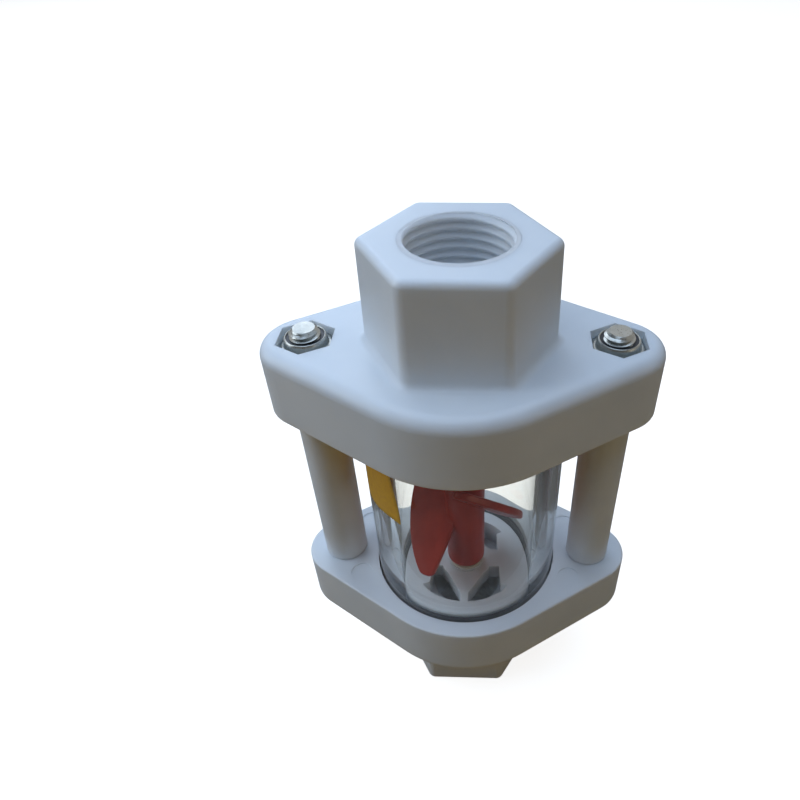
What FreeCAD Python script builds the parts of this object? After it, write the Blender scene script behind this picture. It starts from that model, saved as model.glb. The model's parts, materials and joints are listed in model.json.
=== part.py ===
import FreeCAD, Part
import math
import os
import Sketcher

# Impeller flow indicator: a sight glass clamped by two long bolts between two equal moulded end caps.
# Liquid passes from port to port and spins the impeller behind the glass. Sizes are in millimetres,
# +Z is up, X runs from bolt to bolt, and the part stands on the face of its lower port.

Vector = FreeCAD.Vector
X_DIRECTION = Vector(1, 0, 0)
Z_DIRECTION = Vector(0, 0, 1)

# Driving dimensions: name, size and meaning
DIMENSIONS = (
    ("port_across_flats", 31.9, "port hexagon at its mouth, flat to flat"),
    ("port_height", 20.5, "port hexagon, from its mouth to the flange"),
    ("port_draft", 0.9, "moulding draft of the hexagon, wider at the flange, in degrees"),
    ("port_corner_round", 2.0, "round on the hexagon's upright corners"),
    ("port_edge_round", 1.5, "round on the hexagon's mouth edge"),
    ("port_foot_round", 1.5, "fillet where the hexagon meets the flange"),
    ("port_thread_radius", 10.48, "root of the half-inch pipe thread"),
    ("port_thread_depth", 17.0, "depth of the pipe thread"),
    ("port_mouth_chamfer", 0.2, "lead-in chamfer at the thread's mouth"),
    ("throat_radius", 8.5, "passage behind the thread"),
    ("chamber_radius", 13.2, "chamber under the guide plate"),
    ("chamber_depth", 3.0, "height of that chamber"),
    ("flange_thickness", 15.5, "end cap flange"),
    ("flange_radius", 25.5, "flange round the glass"),
    ("ear_radius", 9.1, "flange round a bolt"),
    ("flange_outer_round", 2.8, "round on the flange's port side"),
    ("flange_inner_round", 0.4, "round on the flange's glass side"),
    ("bolt_spacing", 60.0, "bolt to bolt"),
    ("recess_depth", 5.2, "from the flange's glass side down to the guide plate's seat"),
    ("eject_mark_radius", 2.6, "ejector pin mark on the flange's glass side"),
    ("eject_mark_depth", 0.2, "depth of an ejector pin mark"),
    ("eject_mark_along", 25.0, "ejector pin mark, distance from the axis along the ears"),
    ("eject_mark_across", 8.4, "ejector pin mark, distance from the axis across the ears"),
    ("glass_radius", 21.5, "sight glass, outside"),
    ("glass_wall", 5.0, "sight glass wall"),
    ("glass_clearance", 0.3, "glass to recess, all round"),
    ("glass_edge_chamfer", 0.5, "ground edge of the glass"),
    ("gasket_thickness", 2.3, "gasket under the glass"),
    ("gasket_clearance", 0.3, "gasket to recess and to the guide plate, all round"),
    ("plate_crown_height", 4.2, "top of the crown above the plate's seat"),
    ("plate_rim_thickness", 1.2, "rim of the guide plate, clamped by the gasket"),
    ("plate_edge_round", 0.6, "round on the crown's edge"),
    ("slot_inner_radius", 6.3, "flow openings in the guide plate, inside"),
    ("slot_outer_radius", 12.7, "flow openings, outside"),
    ("web_width", 1.7, "web between two openings, at the rim"),
    ("web_flare", 10.3, "where that web starts to flare, out from the axis"),
    ("web_foot_width", 8.4, "that web at the plate's middle"),
    ("side_web_width", 5.2, "side web at the plate's middle"),
    ("side_web_step", 8.2, "where the side web widens, out from the axis"),
    ("side_web_wide", 15.2, "side web after that step"),
    ("side_web_spread", 39.0, "half the angle that the side web takes of the rim, in degrees"),
    ("web_overlap", 1.0, "web ends sunk in the rim"),
    ("boss_radius", 4.3, "bearing boss on the guide plate"),
    ("boss_height", 0.4, "bearing boss above the crown"),
    ("bush_radius", 3.0, "bearing bush, outside"),
    ("bush_flange_radius", 3.9, "collar of the bearing bush"),
    ("bush_flange_thickness", 0.5, "thickness of that collar"),
    ("shaft_radius", 1.5, "impeller shaft"),
    ("shaft_end_inset", 1.0, "shaft end inside the guide plate's seat"),
    ("running_clearance", 0.05, "shaft in its bush, all round"),
    ("seat_clearance", 0.02, "pressed seats, all round"),
    ("end_float", 0.25, "thrust washer to bush, at each end"),
    ("washer_radius", 3.3, "thrust washer, outside"),
    ("washer_thickness", 0.55, "thrust washer"),
    ("hub_radius", 4.6, "impeller hub"),
    ("hub_end_round", 1.2, "round on the hub's ends"),
    ("blade_level", 19.9, "middle of the blades above the lower flange"),
    ("blade_pitch", 50.4, "blade angle to the level, in degrees"),
    ("blade_thickness", 1.7, "impeller blade"),
    ("blade_radius", 13.7, "blade's outer edge at mid-length"),
    ("blade_edge_radius", 26.4, "bow of the blade's outer edge"),
    ("blade_length", 38.5, "blade, tip to tip"),
    ("blade_tip_offset", 2.67, "inner corner of a blade's tip, in from its outer corner"),
    ("blade_outer_round", 2.0, "round on a tip's outer corner"),
    ("blade_inner_round", 1.2, "round on a tip's inner corner"),
    ("blade_edge_round", 0.5, "softened rim of the blade"),
    ("impeller_rest_angle", 340.4, "first blade's bearing at rest, in degrees"),
    ("pillar_radius", 5.0, "spacer pillar, outside"),
    ("pillar_length", 46.5, "flange to flange"),
    ("pillar_chamfer", 0.3, "edge of a pillar's end"),
    ("bolt_radius", 3.0, "clamp bolt shank"),
    ("bolt_clearance", 0.3, "bolt to its hole, all round"),
    ("bolt_head_height", 4.0, "clamp bolt's hexagon head"),
    ("bolt_end_height", 2.1, "bolt end above the upper flange"),
    ("bolt_end_chamfer", 0.6, "chamfer on the bolt's end"),
    ("wrench_size", 10.0, "bolt head and lock nut, flat to flat"),
    ("pocket_clearance", 0.22, "head or nut to its pocket, on each flat"),
    ("pocket_depth", 5.8, "hexagon pocket in the flange"),
    ("nut_hex_height", 4.4, "hexagon part of the lock nut"),
    ("nut_height", 6.2, "lock nut, overall"),
    ("nut_collar_radius", 4.4, "round collar of the lock nut"),
    ("nut_lip", 0.45, "crimped lip round the insert"),
    ("insert_sink", 0.25, "nylon insert below the lock nut's rim"),
    ("insert_height", 1.5, "nylon insert"),
    ("thread_clearance", 0.03, "nut and insert to the bolt, all round"),
    ("sticker_width", 17.0, "paper sticker across"),
    ("sticker_height", 17.0, "paper sticker up"),
    ("sticker_thickness", 0.12, "paper sticker"),
    ("sticker_level", 36.1, "sticker's middle above the lower flange"),
    ("sticker_bearing", 210.4, "sticker's middle round the glass, in degrees"),
    ("sticker_tilt", 9.5, "sticker's lean, in degrees"),
)
BLADE_COUNT = 2
# Two lengths that differ by less than this are the same
SAME = 1e-4

doc = FreeCAD.newDocument("FlowIndicator")
sheet = doc.addObject("Spreadsheet::Sheet", "Dims")
for row, (alias, size, meaning) in enumerate(DIMENSIONS, start=1):
    sheet.set(f"A{row}", meaning)
    sheet.set(f"B{row}", str(size))
    sheet.setAlias(f"B{row}", alias)
doc.recompute()

# Levels and radii that several pieces share, as expressions on the sheet
FLANGE_FACE = "(Dims.port_height + Dims.flange_thickness)"
OVERALL = f"(2 * {FLANGE_FACE} + Dims.pillar_length)"
UPPER_FLANGE_TOP = f"({OVERALL} - Dims.port_height)"
PLATE_SEAT = f"({FLANGE_FACE} - Dims.recess_depth)"
GASKET_BASE = f"({PLATE_SEAT} + Dims.plate_rim_thickness)"
GLASS_BASE = f"({GASKET_BASE} + Dims.gasket_thickness)"
CROWN_TOP = f"({PLATE_SEAT} + Dims.plate_crown_height)"
BOSS_TOP = f"({CROWN_TOP} + Dims.boss_height)"
BUSH_TOP = f"({BOSS_TOP} + Dims.bush_flange_thickness)"
WASHER_BASE = f"({BUSH_TOP} + Dims.end_float)"
HUB_BASE = f"({WASHER_BASE} + Dims.washer_thickness)"
POCKET_FLOOR = "(Dims.port_height + Dims.pocket_depth)"
NUT_BASE = f"({OVERALL} - {POCKET_FLOOR})"
NUT_TOP = f"({NUT_BASE} + Dims.nut_height)"
INSERT_TOP = f"({NUT_TOP} - Dims.insert_sink)"
INSERT_BASE = f"({INSERT_TOP} - Dims.insert_height)"
RECESS_RADIUS = "(Dims.glass_radius + Dims.glass_clearance)"
GLASS_BORE = "(Dims.glass_radius - Dims.glass_wall)"
CROWN_RADIUS = f"({GLASS_BORE} - Dims.gasket_clearance)"
BOLT_HOLE_RADIUS = "(Dims.bolt_radius + Dims.bolt_clearance)"
NUT_BORE_RADIUS = "(Dims.bolt_radius + Dims.thread_clearance)"
INSERT_RADIUS = "(Dims.nut_collar_radius - Dims.nut_lip)"
HUB_BORE_RADIUS = "(Dims.shaft_radius + Dims.seat_clearance)"
HALF_SPACING = "(Dims.bolt_spacing / 2)"
BLADE_BOW_CENTRE = "(Dims.blade_radius - Dims.blade_edge_radius)"
TIP_OUTER = f"({BLADE_BOW_CENTRE} + sqrt(Dims.blade_edge_radius ^ 2 - (Dims.blade_length / 2) ^ 2))"
TIP_INNER = f"({TIP_OUTER} - Dims.blade_tip_offset)"


def value(expression):
    """The number that an expression on the sheet gives."""
    return float(sheet.evalExpression(expression))


def bind(thing, **sizes):
    """Tie plain properties to expressions on the sheet."""
    for name, expression in sizes.items():
        thing.setExpression(name, expression)


def new_body(label):
    body = doc.addObject("PartDesign::Body", label)
    body.Label = label
    return body


def origin_feature(body, role):
    return next(feature for feature in body.Origin.OriginFeatures if feature.Role == role)


def new_sketch(body, name, plane="XY_Plane", height=None):
    """A sketch on one of the body's own planes, lifted along that plane's normal."""
    sketch = body.newObject("Sketcher::SketchObject", name)
    sketch.AttachmentSupport = (origin_feature(body, plane), [""])
    sketch.MapMode = "FlatFace"
    if height:
        sketch.setExpression("AttachmentOffset.Base.z", height)
    return sketch


def dimension(sketch, kind, expression, *places):
    """A dimension in a sketch, driven by an expression."""
    index = sketch.addConstraint(Sketcher.Constraint(kind, *places, value(expression)))
    sketch.setExpression(f"Constraints[{index}]", expression)


def polygon(sketch, points):
    """A closed outline whose corners are pairs of expressions."""
    corners = [Vector(value(x), value(y), 0) for x, y in points]
    sides = []
    for start, end in zip(corners, corners[1:] + corners[:1]):
        sides.append(sketch.addGeometry(Part.LineSegment(start, end), False))
    for side, following in zip(sides, sides[1:] + sides[:1]):
        sketch.addConstraint(Sketcher.Constraint("Coincident", side, 2, following, 1))
    for side, (x, y) in zip(sides, points):
        dimension(sketch, "DistanceX", x, -1, 1, side, 1)
        dimension(sketch, "DistanceY", y, -1, 1, side, 1)


def hexagon(sketch, across_flats, points_along_x, centre="0"):
    """A hexagon on the X axis, with two of its corners along X or along Y."""
    corners = []
    for step in range(6):
        angle = f"{60 * step} deg" if points_along_x else f"{60 * step + 30} deg"
        radius = f"{across_flats} / sqrt(3)"
        corners.append((f"{centre} + {radius} * cos({angle})", f"{radius} * sin({angle})"))
    polygon(sketch, corners)


def circle(sketch, radius, x="0", y="0"):
    centre = Vector(value(x), value(y), 0)
    ring = sketch.addGeometry(Part.Circle(centre, Z_DIRECTION, value(radius)), False)
    dimension(sketch, "Radius", radius, ring)
    dimension(sketch, "DistanceX", x, -1, 1, ring, 3)
    dimension(sketch, "DistanceY", y, -1, 1, ring, 3)


def pad(body, sketch, length, midplane=False):
    feature = body.newObject("PartDesign::Pad", f"{sketch.Name}_pad")
    feature.Profile = sketch
    feature.Midplane = midplane
    bind(feature, Length=length)
    doc.recompute()
    return feature


def pocket(body, sketch, depth, upwards=False):
    """Cut a sketch into the body, and make sure that it removed something."""
    before = body.Shape.Volume
    feature = body.newObject("PartDesign::Pocket", f"{sketch.Name}_pocket")
    feature.Profile = sketch
    feature.Reversed = upwards
    bind(feature, Length=depth)
    doc.recompute()
    if body.Shape.Volume >= before:
        raise RuntimeError(f"{feature.Name} cuts nothing")
    return feature


def turn(body, name, points, cut=False):
    """Turn a profile of (radius, height) corners about the body's Z axis, to add or to cut."""
    sketch = new_sketch(body, f"{name}_profile", "XZ_Plane")
    polygon(sketch, points)
    feature = body.newObject("PartDesign::Groove" if cut else "PartDesign::Revolution", name)
    feature.Profile = sketch
    feature.ReferenceAxis = (origin_feature(body, "Z_Axis"), [""])
    feature.Angle = 360
    doc.recompute()
    return feature


def ring(body, name, inner, outer, base, top):
    """A plain turned ring."""
    return turn(body, name, [(inner, base), (outer, base), (outer, top), (inner, top)])


def edges_of(feature, test):
    """Names of the edges whose middle point passes a test."""
    names = []
    for number, edge in enumerate(feature.Shape.Edges, start=1):
        middle = edge.valueAt((edge.FirstParameter + edge.LastParameter) / 2)
        if test(edge, middle):
            names.append(f"Edge{number}")
    return names


def round_edges(body, feature, name, radius, test):
    fillet = body.newObject("PartDesign::Fillet", name)
    fillet.Base = (feature, edges_of(feature, test))
    bind(fillet, Radius=radius)
    doc.recompute()
    return fillet


def lean_sides(body, feature, name, angle, top):
    """Moulding draft: the upright sides below a height lean outwards from their edge on the ground plane."""
    sides = []
    for number, face in enumerate(feature.Shape.Faces, start=1):
        if face.BoundBox.ZLength > SAME and face.CenterOfMass.z < value(top):
            sides.append(f"Face{number}")
    draft = body.newObject("PartDesign::Draft", name)
    draft.Base = (feature, sides)
    draft.NeutralPlane = (origin_feature(body, "XY_Plane"), [""])
    draft.Reversed = True
    bind(draft, Angle=angle)
    doc.recompute()
    return draft


def at_height(middle, expression):
    return abs(middle.z - value(expression)) < SAME


def is_upright(edge):
    return abs(edge.tangentAt(edge.FirstParameter).z) > 1 - SAME


def radius_of(middle):
    return math.hypot(middle.x, middle.y)


def turn_over(body):
    """Move a lower piece to the upper end of the part, upside down."""
    body.Placement = FreeCAD.Placement(Vector(0, 0, value(OVERALL)), FreeCAD.Rotation(X_DIRECTION, 180))
    body.setExpression("Placement.Base.z", OVERALL)


def flange_outline(sketch):
    """Two ears and a round middle, joined by tangent sides."""
    middle, ear, reach = value("Dims.flange_radius"), value("Dims.ear_radius"), value(HALF_SPACING)
    lean = math.asin((middle - ear) / reach)
    quarter = math.pi / 2
    arcs = [
        (Vector(reach, 0, 0), ear, lean - quarter, quarter - lean),
        (Vector(0, 0, 0), middle, quarter - lean, quarter + lean),
        (Vector(-reach, 0, 0), ear, quarter + lean, 3 * quarter - lean),
        (Vector(0, 0, 0), middle, 3 * quarter - lean, 3 * quarter + lean),
    ]
    curves = [Part.ArcOfCircle(Part.Circle(c, Z_DIRECTION, r), a, b) for c, r, a, b in arcs]
    chain = []
    for curve, following in zip(curves, curves[1:] + curves[:1]):
        chain.append(sketch.addGeometry(curve, False))
        chain.append(sketch.addGeometry(Part.LineSegment(curve.EndPoint, following.StartPoint), False))
    for piece, following in zip(chain, chain[1:] + chain[:1]):
        sketch.addConstraint(Sketcher.Constraint("Tangent", piece, 2, following, 1))
    right_ear, front, left_ear, back = chain[0::2]
    for arc in (front, back):
        sketch.addConstraint(Sketcher.Constraint("Coincident", arc, 3, -1, 1))
        dimension(sketch, "Radius", "Dims.flange_radius", arc)
    for arc, start, end in ((right_ear, (-1, 1), None), (left_ear, None, (-1, 1))):
        centre = (arc, 3)
        sketch.addConstraint(Sketcher.Constraint("PointOnObject", arc, 3, -1))
        dimension(sketch, "DistanceX", HALF_SPACING, *(start or centre), *(end or centre))
        dimension(sketch, "Radius", "Dims.ear_radius", arc)


def make_end_cap(label):
    """One moulding: flange with two ears, hexagon port, turned passage, bolt holes and hexagon pockets."""
    body = new_body(label)
    flange = new_sketch(body, f"{label}_flange", height="Dims.port_height")
    flange_outline(flange)
    pad(body, flange, "Dims.flange_thickness")
    port = new_sketch(body, f"{label}_port")
    hexagon(port, "Dims.port_across_flats", points_along_x=True)
    solid = pad(body, port, "Dims.port_height")

    between = (value("Dims.port_across_flats") / math.sqrt(3) + value("Dims.flange_radius")) / 2
    solid = round_edges(body, solid, f"{label}_port_corners", "Dims.port_corner_round",
                        lambda edge, middle: is_upright(edge) and radius_of(middle) < between)
    solid = lean_sides(body, solid, f"{label}_port_draft", "Dims.port_draft", "Dims.port_height")
    solid = round_edges(body, solid, f"{label}_port_edge", "Dims.port_edge_round",
                        lambda edge, middle: at_height(middle, "0"))
    solid = round_edges(body, solid, f"{label}_port_foot", "Dims.port_foot_round",
                        lambda edge, middle: at_height(middle, "Dims.port_height")
                        and radius_of(middle) < between)
    solid = round_edges(body, solid, f"{label}_outer_edge", "Dims.flange_outer_round",
                        lambda edge, middle: at_height(middle, "Dims.port_height")
                        and radius_of(middle) > between)
    round_edges(body, solid, f"{label}_inner_edge", "Dims.flange_inner_round",
                lambda edge, middle: at_height(middle, FLANGE_FACE))

    chamber_floor = f"({PLATE_SEAT} - Dims.chamber_depth)"
    turn(body, f"{label}_passage", [
        ("0", "0"),
        ("Dims.port_thread_radius + Dims.port_mouth_chamfer", "0"),
        ("Dims.port_thread_radius", "Dims.port_mouth_chamfer"),
        ("Dims.port_thread_radius", "Dims.port_thread_depth"),
        ("Dims.throat_radius", "Dims.port_thread_depth"),
        ("Dims.throat_radius", chamber_floor),
        ("Dims.chamber_radius", chamber_floor),
        ("Dims.chamber_radius", PLATE_SEAT),
        (RECESS_RADIUS, PLATE_SEAT),
        (RECESS_RADIUS, FLANGE_FACE),
        ("0", FLANGE_FACE),
    ], cut=True)

    holes = new_sketch(body, f"{label}_bolt_holes", height=FLANGE_FACE)
    pockets = new_sketch(body, f"{label}_nut_pockets", height="Dims.port_height")
    marks = new_sketch(body, f"{label}_eject_marks", height=FLANGE_FACE)
    for side in ("-", ""):
        circle(holes, BOLT_HOLE_RADIUS, f"{side}{HALF_SPACING}")
        hexagon(pockets, "(Dims.wrench_size + 2 * Dims.pocket_clearance)", False, f"{side}{HALF_SPACING}")
        for face in ("-", ""):
            circle(marks, "Dims.eject_mark_radius", f"{side}Dims.eject_mark_along",
                   f"{face}Dims.eject_mark_across")
    pocket(body, holes, "Dims.flange_thickness")
    pocket(body, pockets, "Dims.pocket_depth", upwards=True)
    pocket(body, marks, "Dims.eject_mark_depth")
    return body


def make_glass(label):
    body = new_body(label)
    edge = "Dims.glass_edge_chamfer"
    top = f"({OVERALL} - {GLASS_BASE})"
    turn(body, f"{label}_tube", [
        (f"{GLASS_BORE} + {edge}", GLASS_BASE),
        (f"Dims.glass_radius - {edge}", GLASS_BASE),
        ("Dims.glass_radius", f"{GLASS_BASE} + {edge}"),
        ("Dims.glass_radius", f"{top} - {edge}"),
        (f"Dims.glass_radius - {edge}", top),
        (f"{GLASS_BORE} + {edge}", top),
        (GLASS_BORE, f"{top} - {edge}"),
        (GLASS_BORE, f"{GLASS_BASE} + {edge}"),
    ])
    return body


def make_gasket(label):
    body = new_body(label)
    ring(body, f"{label}_ring", GLASS_BORE, f"{RECESS_RADIUS} - Dims.gasket_clearance",
         GASKET_BASE, GLASS_BASE)
    return body


def spider_outline(sketch):
    """Front and back webs, which flare to the middle, and two stepped side webs, as one outline."""
    middle = "Dims.slot_inner_radius"
    reach = "(Dims.slot_outer_radius + Dims.web_overlap)"
    foot, side = "Dims.web_foot_width / 2", "Dims.side_web_width / 2"
    quarter = [
        ("Dims.web_width / 2", reach),
        ("Dims.web_width / 2", "Dims.web_flare"),
        (foot, f"sqrt({middle} ^ 2 - ({foot}) ^ 2)"),
        (f"sqrt({middle} ^ 2 - ({side}) ^ 2)", side),
        ("Dims.side_web_step", side),
        ("Dims.side_web_step", "Dims.side_web_wide / 2"),
        (f"{reach} * cos(Dims.side_web_spread * 1 deg)", f"{reach} * sin(Dims.side_web_spread * 1 deg)"),
        (f"{reach} * cos(Dims.side_web_spread / 3 * 1 deg)", f"{reach} * sin(Dims.side_web_spread / 3 * 1 deg)"),
    ]
    corners = []
    for x_sign, y_sign, points in (("", "-", quarter), ("", "", quarter[::-1]),
                                   ("-", "", quarter), ("-", "-", quarter[::-1])):
        corners += [(f"{x_sign}({x})", f"{y_sign}({y})") for x, y in points]
    polygon(sketch, corners)


def make_guide_plate(label):
    """Spider inside a stepped ring, with a bearing boss; the gasket clamps its rim, its openings pass the liquid."""
    body = new_body(label)
    seat_radius = "(Dims.bush_radius + Dims.seat_clearance)"
    rim_radius = f"({RECESS_RADIUS} - Dims.gasket_clearance)"
    spider = new_sketch(body, f"{label}_spider", height=PLATE_SEAT)
    spider_outline(spider)
    pad(body, spider, "Dims.plate_crown_height")
    crown = turn(body, f"{label}_crown", [
        ("Dims.slot_outer_radius", PLATE_SEAT),
        (rim_radius, PLATE_SEAT),
        (rim_radius, GASKET_BASE),
        (CROWN_RADIUS, GASKET_BASE),
        (CROWN_RADIUS, CROWN_TOP),
        ("Dims.slot_outer_radius", CROWN_TOP),
    ])
    round_edges(body, crown, f"{label}_crown_edge", "Dims.plate_edge_round",
                lambda edge, middle: at_height(middle, CROWN_TOP)
                and abs(radius_of(middle) - value(CROWN_RADIUS)) < SAME)
    turn(body, f"{label}_middle", [
        ("0", PLATE_SEAT),
        ("Dims.slot_inner_radius", PLATE_SEAT),
        ("Dims.slot_inner_radius", CROWN_TOP),
        ("Dims.boss_radius", CROWN_TOP),
        ("Dims.boss_radius", BOSS_TOP),
        ("0", BOSS_TOP),
    ])
    seat = new_sketch(body, f"{label}_bush_seat", height=BOSS_TOP)
    circle(seat, seat_radius)
    pocket(body, seat, f"{BOSS_TOP} - {PLATE_SEAT}")
    return body


def make_bush(label):
    """Collared bearing bush, pressed into the guide plate's boss."""
    body = new_body(label)
    bore = "(Dims.shaft_radius + Dims.running_clearance)"
    turn(body, f"{label}_sleeve", [
        (bore, PLATE_SEAT),
        ("Dims.bush_radius", PLATE_SEAT),
        ("Dims.bush_radius", BOSS_TOP),
        ("Dims.bush_flange_radius", BOSS_TOP),
        ("Dims.bush_flange_radius", BUSH_TOP),
        (bore, BUSH_TOP),
    ])
    return body


def make_thrust_washer(label):
    body = new_body(label)
    ring(body, f"{label}_ring", HUB_BORE_RADIUS, "Dims.washer_radius", WASHER_BASE, HUB_BASE)
    return body


def make_shaft(label):
    body = new_body(label)
    base = f"({PLATE_SEAT} + Dims.shaft_end_inset)"
    turn(body, f"{label}_pin", [
        ("0", base),
        ("Dims.shaft_radius", base),
        ("Dims.shaft_radius", f"{OVERALL} - {base}"),
        ("0", f"{OVERALL} - {base}"),
    ])
    return body


def blade_outline(sketch):
    """A petal: two straight sides from the axis, square tips and a bowed outer edge."""
    inner, half = value(TIP_INNER), value("Dims.blade_length / 2")
    bow, centre = value("Dims.blade_edge_radius"), value(BLADE_BOW_CENTRE)
    spread = math.asin(half / bow)
    rim = Part.ArcOfCircle(Part.Circle(Vector(centre, 0, 0), Z_DIRECTION, bow), -spread, spread)
    axis, upper_tip, lower_tip = Vector(0, 0, 0), Vector(inner, half, 0), Vector(inner, -half, 0)
    outer = sketch.addGeometry(rim, False)
    upper_end = sketch.addGeometry(Part.LineSegment(rim.EndPoint, upper_tip), False)
    upper_side = sketch.addGeometry(Part.LineSegment(upper_tip, axis), False)
    lower_side = sketch.addGeometry(Part.LineSegment(axis, lower_tip), False)
    lower_end = sketch.addGeometry(Part.LineSegment(lower_tip, rim.StartPoint), False)
    loop = (outer, upper_end, upper_side, lower_side, lower_end)
    for piece, following in zip(loop, loop[1:] + loop[:1]):
        sketch.addConstraint(Sketcher.Constraint("Coincident", piece, 2, following, 1))
    for end in (upper_end, lower_end):
        sketch.addConstraint(Sketcher.Constraint("Horizontal", end))
    sketch.addConstraint(Sketcher.Constraint("Coincident", lower_side, 1, -1, 1))
    sketch.addConstraint(Sketcher.Constraint("PointOnObject", outer, 3, -1))
    dimension(sketch, "Radius", "Dims.blade_edge_radius", outer)
    dimension(sketch, "DistanceX", BLADE_BOW_CENTRE, -1, 1, outer, 3)
    for end, point, sign in ((upper_end, 2, ""), (lower_end, 1, "-")):
        dimension(sketch, "DistanceX", TIP_INNER, -1, 1, end, point)
        dimension(sketch, "DistanceY", f"{sign}Dims.blade_length / 2", -1, 1, end, point)


def soften_blades(body, blades, label):
    """Round the corners of the blades' tips, then the rims of their two faces."""
    sideways = value("Dims.blade_length / 2") * math.cos(math.radians(value("Dims.blade_pitch")))
    outer_corner = math.hypot(value(TIP_OUTER), sideways)
    inner_corner = math.hypot(value(TIP_INNER), sideways)
    thickness, hub = value("Dims.blade_thickness"), value("Dims.hub_radius")

    def runs_across(edge):
        return edge.Curve.TypeId == "Part::GeomLine" and abs(edge.Length - thickness) < SAME

    def is_at(middle, radius):
        return abs(radius_of(middle) - radius) < SAME

    solid = round_edges(body, blades, f"{label}_outer_corners", "Dims.blade_outer_round",
                        lambda edge, middle: runs_across(edge) and is_at(middle, outer_corner))
    solid = round_edges(body, solid, f"{label}_inner_corners", "Dims.blade_inner_round",
                        lambda edge, middle: runs_across(edge) and is_at(middle, inner_corner))
    round_edges(body, solid, f"{label}_rims", "Dims.blade_edge_round",
                lambda edge, middle: not runs_across(edge) and radius_of(middle) > hub + SAME)


def make_impeller(label):
    """Long hub with pitched petal blades, in one moulding."""
    body = new_body(label)
    hub_top = f"({OVERALL} - {HUB_BASE})"
    hub = turn(body, f"{label}_hub", [
        ("0", HUB_BASE),
        ("Dims.hub_radius", HUB_BASE),
        ("Dims.hub_radius", hub_top),
        ("0", hub_top),
    ])
    round_edges(body, hub, f"{label}_hub_ends", "Dims.hub_end_round",
                lambda edge, middle: at_height(middle, HUB_BASE) or at_height(middle, hub_top))

    blade = new_sketch(body, f"{label}_blade", height=f"{FLANGE_FACE} + Dims.blade_level")
    blade.AttachmentOffset.Rotation = FreeCAD.Rotation(X_DIRECTION, 180 - value("Dims.blade_pitch"))
    blade.setExpression("AttachmentOffset.Rotation.Angle", "180 - Dims.blade_pitch")
    blade_outline(blade)
    first = pad(body, blade, "Dims.blade_thickness", midplane=True)
    blades = body.newObject("PartDesign::PolarPattern", f"{label}_blades")
    blades.Originals = [first]
    blades.Axis = (origin_feature(body, "Z_Axis"), [""])
    blades.Angle = 360
    blades.Occurrences = BLADE_COUNT
    body.Tip = blades
    doc.recompute()
    soften_blades(body, blades, label)

    bore = new_sketch(body, f"{label}_bore", height=hub_top)
    circle(bore, HUB_BORE_RADIUS)
    pocket(body, bore, f"{hub_top} - {HUB_BASE}")
    body.Placement.Rotation = FreeCAD.Rotation(Z_DIRECTION, value("Dims.impeller_rest_angle"))
    body.setExpression("Placement.Rotation.Angle", "Dims.impeller_rest_angle")
    return body


def make_pillar(label):
    body = new_body(label)
    edge = "Dims.pillar_chamfer"
    top = f"({FLANGE_FACE} + Dims.pillar_length)"
    turn(body, f"{label}_sleeve", [
        (BOLT_HOLE_RADIUS, FLANGE_FACE),
        (f"Dims.pillar_radius - {edge}", FLANGE_FACE),
        ("Dims.pillar_radius", f"{FLANGE_FACE} + {edge}"),
        ("Dims.pillar_radius", f"{top} - {edge}"),
        (f"Dims.pillar_radius - {edge}", top),
        (BOLT_HOLE_RADIUS, top),
    ])
    return body


def make_bolt(label):
    """Hexagon bolt, its head in the lower cap's pocket and its end above the upper lock nut."""
    body = new_body(label)
    head = new_sketch(body, f"{label}_head", height=f"{POCKET_FLOOR} - Dims.bolt_head_height")
    hexagon(head, "Dims.wrench_size", points_along_x=False)
    pad(body, head, "Dims.bolt_head_height")
    end = f"({UPPER_FLANGE_TOP} + Dims.bolt_end_height)"
    turn(body, f"{label}_shank", [
        ("0", f"{POCKET_FLOOR} - Dims.bolt_head_height"),
        ("Dims.bolt_radius", f"{POCKET_FLOOR} - Dims.bolt_head_height"),
        ("Dims.bolt_radius", f"{end} - Dims.bolt_end_chamfer"),
        ("Dims.bolt_radius - Dims.bolt_end_chamfer", end),
        ("0", end),
    ])
    return body


def make_lock_nut(label):
    """Hexagon nut with a round collar that is crimped over a nylon insert."""
    body = new_body(label)
    hexagon_part = new_sketch(body, f"{label}_hexagon", height=NUT_BASE)
    hexagon(hexagon_part, "Dims.wrench_size", points_along_x=False)
    pad(body, hexagon_part, "Dims.nut_hex_height")
    collar = new_sketch(body, f"{label}_collar", height=NUT_BASE)
    circle(collar, "Dims.nut_collar_radius")
    pad(body, collar, "Dims.nut_height")
    turn(body, f"{label}_bore", [
        ("0", NUT_BASE),
        (NUT_BORE_RADIUS, NUT_BASE),
        (NUT_BORE_RADIUS, INSERT_BASE),
        (INSERT_RADIUS, INSERT_BASE),
        (INSERT_RADIUS, NUT_TOP),
        ("0", NUT_TOP),
    ], cut=True)
    return body


def make_nut_insert(label):
    body = new_body(label)
    ring(body, f"{label}_ring", NUT_BORE_RADIUS, f"{INSERT_RADIUS} - Dims.seat_clearance",
         INSERT_BASE, INSERT_TOP)
    return body


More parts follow.
